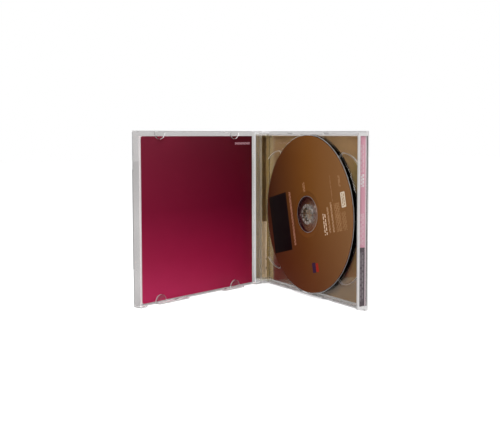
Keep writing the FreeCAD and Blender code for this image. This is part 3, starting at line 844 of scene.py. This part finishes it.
def sheet_solid(shape, mid_line, thickness, low, high, place, faces=(0, 0), edge=0):
    """A folded sheet: two printed faces and paper edges."""
    steps = 12
    heights = [low + (high - low) * k / steps for k in range(steps + 1)]
    sides = folded_outline(mid_line, thickness)
    a, b = ([[shape.verts.new(place(x, y, z)) for x, y in side] for z in heights] for side in sides)
    last = len(mid_line) - 1
    for rows, material in ((a, faces[0]), (b, faces[1])):
        for j in range(steps):
            for k in range(last):
                corners = (rows[j][k], rows[j][k + 1], rows[j + 1][k + 1], rows[j + 1][k])
                shape.faces.new(corners).material_index = material
    for j in (0, steps):
        for k in range(last):
            shape.faces.new((a[j][k], a[j][k + 1], b[j][k + 1], b[j][k])).material_index = edge
    for j in range(steps):
        for k in (0, last):
            shape.faces.new((a[j][k], a[j + 1][k], b[j + 1][k], b[j][k])).material_index = edge


def lathe(shape, profile, steps=160, side=-1.0):
    """A ring about the discs' axis from (radius, depth, material) corners."""
    rings = []
    for radius, depth, _ in profile:
        ring = []
        for k in range(steps):
            a = 2 * math.pi * k / steps
            point = Vector((DISC_X + radius * math.cos(a), side * depth, MIDDLE + radius * math.sin(a)))
            ring.append(shape.verts.new(point * MM))
        rings.append(ring)
    for j, (_, _, material) in enumerate(profile):
        here, following = rings[j], rings[(j + 1) % len(rings)]
        for k in range(steps):
            n = (k + 1) % steps
            shape.faces.new((here[k], here[n], following[n], following[k])).material_index = material


def tube(shape, points, radius, sides=12):
    """A round wire along points, capped at both ends."""
    rings = []
    for k, point in enumerate(points):
        ahead = points[min(k + 1, len(points) - 1)] - points[max(k - 1, 0)]
        turn = ahead.to_track_quat("Z", "Y")
        ring = []
        for j in range(sides):
            a = 2 * math.pi * j / sides
            outward = Vector((radius * math.cos(a), radius * math.sin(a), 0))
            ring.append(shape.verts.new(point + turn @ outward))
        rings.append(ring)
    for a, b in zip(rings, rings[1:]):
        for j in range(sides):
            n = (j + 1) % sides
            shape.faces.new((a[j], a[n], b[n], b[j]))
    shape.faces.new(rings[0])
    shape.faces.new(list(reversed(rings[-1])))


def smooth_regions(shape):
    """The mesh's faces in groups that meet at blunt angles."""
    waiting = set(shape.faces)
    for first in shape.faces:
        if first not in waiting:
            continue
        waiting.remove(first)
        region = [first]
        for face in region:
            for other in (other for edge in face.edges for other in edge.link_faces):
                if other in waiting and other.normal.angle(face.normal, math.pi) < SMOOTH_ANGLE:
                    waiting.remove(other)
                    region.append(other)
        yield region


def mark_narrow_faces(piece, width, facing=0.0):
    """Give narrow faces the painted edge glow: all, or those that face along Y."""
    shape = bmesh.new()
    shape.from_mesh(piece.data)
    number = shape.faces.layers.int.new("number")
    for face in shape.faces:
        face[number] = face.index
    bmesh.ops.remove_doubles(shape, verts=shape.verts, dist=WELD * MM)
    for region in smooth_regions(shape):
        inside = set(region)
        area = sum(face.calc_area() for face in region)
        border = sum(edge.calc_length() for face in region for edge in face.edges
                     if not inside.issuperset(edge.link_faces))
        turned = max(abs(face.normal.y) for face in region)
        if border and area * 2 / border < width * MM and turned >= facing:
            for face in region:
                piece.data.polygons[face[number]].material_index = EDGE
    shape.free()


def base_with_spine_zones(shape):
    """The base's own mesh, its right spine cut along the label's four edges."""
    shape.from_mesh(frame["nodes"]["base"].data)
    bmesh.ops.remove_doubles(shape, verts=shape.verts, dist=WELD * MM)
    cuts = [((0, depth * MM, 0), (0, 1, 0)) for depth in SPINE_ZONE_EDGES]
    cuts += [((0, 0, height * MM), (0, 0, 1)) for height in SPINE_ZONE_ENDS]
    for place, across in cuts:
        spine = [face for face in shape.faces if face.calc_center_median().x > SPINE_FACE * MM]
        parts = [part for face in spine for part in (face, *face.edges, *face.verts)]
        bmesh.ops.bisect_plane(shape, geom=list(dict.fromkeys(parts)), plane_co=place, plane_no=across)


def mark_spine_glow_zones(piece):
    """Give the zones round the label their own look: rough, painted pale as a glow of caught light."""
    (front, back), (low, high) = SPINE_ZONE_EDGES, SPINE_ZONE_ENDS
    for face in piece.data.polygons:
        x, y, z = face.center / MM
        if x > SPINE_FACE and not (front < y < back and low < z < high):
            face.material_index = SPINE_GLOW_ZONE


def build_base():
    """The base in its own shape, with its rough narrow faces and the zones on its spine painted pale as
    glow.
    """
    materials = [
        clear_styrene("clear_base", BASE_TINT, index=1.25),
        painted_edge_glow("base_edge", clear=0.6, tone=0.72),
        # the spine's zones beside the label are painted pale as glow of light trapped in the plastic
        painted_edge_glow("base_spine_painted_glow", clear=0.25),
    ]
    piece = mesh_piece("base_moulding", base_with_spine_zones, materials, "base_body", "clear_base", "base")
    mark_narrow_faces(piece, EDGE_WIDTH)
    mark_spine_glow_zones(piece)


def dress_moulding(node, plastic, edge, width=EDGE_WIDTH, facing=0.0):
    """A moulding that keeps its shape, clear but for its narrow faces, which are painted as a pale glow."""
    piece = frame["nodes"][node]
    piece.data.materials.clear()
    piece.data.materials.append(plastic)
    piece.data.materials.append(edge)
    mark_narrow_faces(piece, width, facing)


def dress_lid_tray_and_strip():
    """The looks of the lid, the tray and the tray's hinge strip."""
    plastic = clear_styrene("clear_front_lid", lid_tint, index=1.3)
    edge = painted_edge_glow("front_lid_edge", clear=0.6, shade=free_end, tone=0.85)
    dress_moulding("front_lid", plastic, edge)
    plastic = clear_styrene("clear_swing_tray", TRAY_TINT, index=1.3)
    edge = painted_edge_glow("swing_tray_edge", clear=0.94)
    dress_moulding("swing_tray", plastic, edge, facing=0.6)
    plastic = clear_styrene("clear_tray_hinge_strip", strip_tint, strip_corner_highlight, index=1.3)
    edge = painted_edge_glow("tray_hinge_strip_edge", clear=0.8)
    dress_moulding("tray_hinge_strip", plastic, edge, width=STRIP_EDGE_WIDTH)


def leaf_line(level, end_a, end_b):
    """Middle line of one folded sheet of the booklet, level 0 outermost."""
    half = (BOOKLET_INNER - BOOKLET_OUTER) / 2
    radius = half - LEAF_THICKNESS / 2 - level * (half / LEAVES)
    turn = BOOKLET_START + half
    steps = range(FOLD_STEPS + 1)
    line = [(end_a + (turn - end_a) * k / FOLD_STEPS, BOOKLET_MIDDLE + radius) for k in steps[:-1]]
    for k in steps:
        a = math.pi / 2 + math.pi * k / FOLD_STEPS
        line.append((turn + radius * math.cos(a), BOOKLET_MIDDLE + radius * math.sin(a)))
    return line + [(turn + (end_b - turn) * k / FOLD_STEPS, BOOKLET_MIDDLE - radius) for k in steps[1:]]


def build_booklet(paper):
    """A printed cover folded round nested folded pages."""
    def cover(shape):
        line = leaf_line(0, *(BOOKLET_END - short for short in COVER_SHORT_BY))
        sheet_solid(shape, line, LEAF_THICKNESS, BOOKLET_LOW, BOOKLET_HIGH, on_lid, faces=(1, 0), edge=1)

    def pages(shape):
        for level in range(1, LEAVES):
            a, b = (BOOKLET_END - rng.uniform(*LEAF_LENGTH_SPREAD) for _ in range(2))
            low = BOOKLET_LOW + rng.uniform(*LEAF_HEIGHT_SPREAD)
            high = BOOKLET_HIGH - rng.uniform(*LEAF_HEIGHT_SPREAD)
            sheet_solid(shape, leaf_line(level, a, b), LEAF_THICKNESS, low, high, on_lid)

    materials = [booklet_cover_print(), paper]
    piece = mesh_piece("booklet_cover", cover, materials, "booklet_body", "booklet_print", "booklet")
    smooth_below(piece, 40)
    piece = mesh_piece("booklet_pages", pages, [paper], "booklet_body", "booklet_print")
    smooth_below(piece, 40)


def build_staples():
    """Two round wire staples over the booklet's fold."""
    def wires(shape):
        for centre in STAPLE_CENTRES:
            low = centre - STAPLE_LENGTH / 2 + STAPLE_WIRE_RADIUS
            path = [(BOOKLET_START + STAPLE_LEG, low), (BOOKLET_START + STAPLE_BEND, low),
                    (BOOKLET_START + STAPLE_BEND_MIDDLE, low + STAPLE_BEND_MIDDLE),
                    (BOOKLET_START, low + STAPLE_BEND)]
            back = [(x, centre * 2 - z) for x, z in reversed(path)]
            points = [on_lid(x, BOOKLET_MIDDLE, z) for x, z in path + back]
            tube(shape, points, STAPLE_WIRE_RADIUS * MM)

    steel = [staple_steel()]
    piece = mesh_piece("staple_wires", wires, steel, "booklet_body", "staple_wire", "booklet_staples")
    smooth_below(piece, 50)


def build_card(paper):
    """The printed card, folded up inside both spine walls."""
    thickness = CARD_THICKNESS - 2 * CARD_INSET
    half = thickness / 2 + CARD_INSET
    left, right = CARD_LEFT + half, CARD_RIGHT - half
    back = CARD_BACK - half
    radius = CARD_BEND
    bend_angles = [math.pi * k / 8 for k in (1, 2, 3)]
    flap_steps, back_steps = 4, 12

    def card(shape):
        flap = back - radius - CARD_LEFT_FRONT
        line = [(left, CARD_LEFT_FRONT + flap * k / flap_steps) for k in range(flap_steps + 1)]
        for a in bend_angles:
            line.append((left + radius - radius * math.cos(a), back - radius + radius * math.sin(a)))
        flat = right - left - 2 * radius
        line += [(left + radius + flat * k / back_steps, back) for k in range(back_steps + 1)]
        for a in bend_angles:
            line.append((right - radius + radius * math.sin(a), back - radius + radius * math.cos(a)))
        flap = CARD_RIGHT_FRONT - back + radius
        line += [(right, back - radius + flap * k / flap_steps) for k in range(flap_steps + 1)]
        sheet_solid(shape, line, thickness, CARD_LOW + CARD_INSET, CARD_HIGH - CARD_INSET,
                    lambda x, y, z: Vector((x, y, z)) * MM, faces=(1, 0), edge=2)

    materials = [card_inner_print(), card_outer_print(), paper]
    piece = mesh_piece("inlay_card_print", card, materials, "base_body", "card_print", "inlay_card")
    smooth_below(piece, 40)


def build_disc(name, side, body, slot, node, rim):
    """One disc: clear body with a dull hub zone, printed face, mirrored data side."""
    face, back = DISC_LABEL_FACE, DISC_DATA_FACE
    under_print = face - PRINT_THICKNESS
    level = under_print - PRINT_CLEARANCE
    body_ring = face + STACKING_RING_RISE - PRINT_THICKNESS

    def clear_body(shape):
        plain, rim_and_ring, hub = range(3)
        lathe(shape, [
            (DISC_HOLE, back + HOLE_CHAMFER, hub), (DISC_HOLE, level - HOLE_CHAMFER, hub),
            (DISC_HOLE + HOLE_CHAMFER, level, hub), (HUB_RING - RING_HALF_WIDTH, level, hub),
            (HUB_RING, level + HUB_RING_RISE, rim_and_ring), (HUB_RING + RING_HALF_WIDTH, level, hub),
            (STACKING_RING - RING_HALF_WIDTH, level, plain), (STACKING_RING, body_ring, plain),
            (STACKING_RING + RING_HALF_WIDTH, level, plain), (DISC_RADIUS - RIM_CHAMFER, level, rim_and_ring),
            (DISC_RADIUS, face - RIM_CHAMFER, plain), (DISC_RADIUS, back + DATA_SIDE_CHAMFER, plain),
            (DISC_RADIUS - DATA_SIDE_CHAMFER, back, plain), (HUB_RING, back, hub),
            (DISC_HOLE + HOLE_CHAMFER, back, hub),
        ], side=side)

    def printed(shape):
        ink, mirror = range(2)
        lathe(shape, [
            (PRINT_INNER, under_print, mirror), (PRINT_INNER, face, ink),
            (STACKING_RING - PRINTED_RING_HALF_WIDTH, face, ink),
            (STACKING_RING, face + STACKING_RING_RISE, ink),
            (STACKING_RING + PRINTED_RING_HALF_WIDTH, face, ink),
            (PRINT_OUTER - PRINT_CHAMFER, face, ink), (PRINT_OUTER, under_print, mirror),
        ], side=side)

    plastic = clear_styrene(name + "_clear", DISC_TINT, smear=0.02, scratch=0.1)
    hub_zone = clear_styrene(name + "_hub_zone", HUB_ZONE_TINT, index=1.35, smear=0.3, scratch=0.3)
    # with a rim, the rim's chamfer and the hub ring are painted pale as a glow of caught light
    materials = [plastic, painted_edge_glow(name + "_rim", clear=0.7, tone=0.8) if rim else plastic, hub_zone]
    piece = mesh_piece(name + "_clear_body", clear_body, materials, body, slot, node)
    smooth_below(piece, 30)
    label = disc_label_print(name + "_label", side < 0)
    piece = mesh_piece(name + "_printed_face", printed, [label, disc_mirror()], body, slot)
    smooth_below(piece, 30)


def build_floor():
    """A white floor that keeps a soft shadow near the box."""
    bpy.ops.mesh.primitive_plane_add(size=FLOOR_SIZE, location=(0, 0, -FLOOR_DROP))
    floor = bpy.context.object
    floor.name = "studio_floor"
    material, wire, surface = new_material("studio_floor")
    place, _ = object_place(wire)
    distance = wire.add("ShaderNodeVectorMath", operation="LENGTH")
    wire.put(distance.inputs[0], place)
    far = wire.ramp(distance.outputs["Value"], *FLOOR_CHANGE)
    path = wire.add("ShaderNodeLightPath").outputs
    in_glass = wire.math("ADD", path["Is Glossy Ray"], path["Is Transmission Ray"], clamp=True)
    seen_glow = wire.math("MULTIPLY", path["Is Camera Ray"], wire.ramp(far, 0.0, 1.0, *FLOOR_GLOW_SEEN))
    glass_glow = wire.math("MULTIPLY", in_glass, wire.ramp(far, 0.0, 1.0, *FLOOR_GLOW_IN_GLASS))
    matt = wire.add("ShaderNodeBsdfDiffuse")
    near_grey, far_grey = ((grey, grey, grey, 1) for grey in FLOOR_MATT)
    wire.put(matt.inputs["Color"], wire.mix(far, near_grey, far_grey))
    glow = wire.add("ShaderNodeEmission")
    wire.put(glow.inputs["Strength"], wire.math("ADD", seen_glow, glass_glow))
    both = wire.add("ShaderNodeAddShader")
    wire.put(both.inputs[0], matt.outputs[0])
    wire.put(both.inputs[1], glow.outputs[0])
    wire.put(surface, both.outputs[0])
    floor.data.materials.append(material)


def build_light():
    """White surroundings and two soft lamps."""
    world = bpy.data.worlds.new("studio")
    bpy.context.scene.world = world
    world.use_nodes = True
    world.node_tree.nodes.clear()
    wire = Wiring(world.node_tree)
    background = wire.add("ShaderNodeBackground")
    path = wire.add("ShaderNodeLightPath").outputs
    in_glass = wire.math("ADD", path["Is Glossy Ray"], path["Is Transmission Ray"], clamp=True)
    strength = wire.ramp(in_glass, 0.0, 1.0, AMBIENT, SEEN_IN_GLASS)
    strength = wire.ramp(path["Is Camera Ray"], 0.0, 1.0, strength, SEEN_BY_CAMERA)
    wire.put(background.inputs["Strength"], strength)
    background.inputs["Color"].default_value = (1, 1, 1, 1)
    wire.put(wire.add("ShaderNodeOutputWorld").inputs["Surface"], background.outputs[0])
    for name, place, size, power in LAMPS:
        lamp = bpy.data.lights.new(name, "AREA")
        lamp.shape = "SQUARE"
        lamp.size = size
        lamp.energy = power
        holder = bpy.data.objects.new(name, lamp)
        holder.location = place
        aim = Vector(LAMP_AIM) - Vector(place)
        holder.rotation_euler = aim.to_track_quat("-Z", "Y").to_euler()
        bpy.context.collection.objects.link(holder)


def build_camera():
    """The photograph's view: from the right, a little above the middle."""
    yaw, pitch, roll = (math.radians(angle) for angle in CAMERA_ANGLES)
    level = math.cos(pitch)
    forward = Vector((-math.sin(yaw) * level, math.cos(yaw) * level, -math.sin(pitch)))
    right = Vector((math.cos(yaw), math.sin(yaw), 0))
    up = right.cross(forward)
    turned_right = math.cos(roll) * right + math.sin(roll) * up
    turned_up = -math.sin(roll) * right + math.cos(roll) * up
    lens = bpy.data.cameras.new("camera")
    lens.sensor_width = SENSOR_WIDTH
    lens.lens = FOCAL_LENGTH / PHOTO_WIDTH * SENSOR_WIDTH
    lens.shift_x, lens.shift_y = (shift / PHOTO_WIDTH for shift in PHOTO_SHIFT)
    lens.clip_start = 0.01
    camera = bpy.data.objects.new("camera", lens)
    columns = Matrix((turned_right, turned_up, -forward)).transposed()
    camera.matrix_world = Matrix.Translation(Vector(CAMERA_PLACE) * MM) @ columns.to_4x4()
    bpy.context.collection.objects.link(camera)
    bpy.context.scene.camera = camera


bpy.context.scene.view_settings.view_transform = "Standard"
for make_group in (group_printed_field, group_printed_rows, group_handling_wear, group_paper_tooth):
    make_group()
white_paper = paper_edge()
build_base()
dress_lid_tray_and_strip()
build_booklet(white_paper)
build_staples()
build_card(white_paper)
build_disc("front_disc", -1.0, "front_disc_body", "disc_print", "front_disc", True)
build_disc("back_disc", 1.0, "back_disc_body", "disc_dark", "back_disc", False)
build_floor()
build_light()
build_camera()
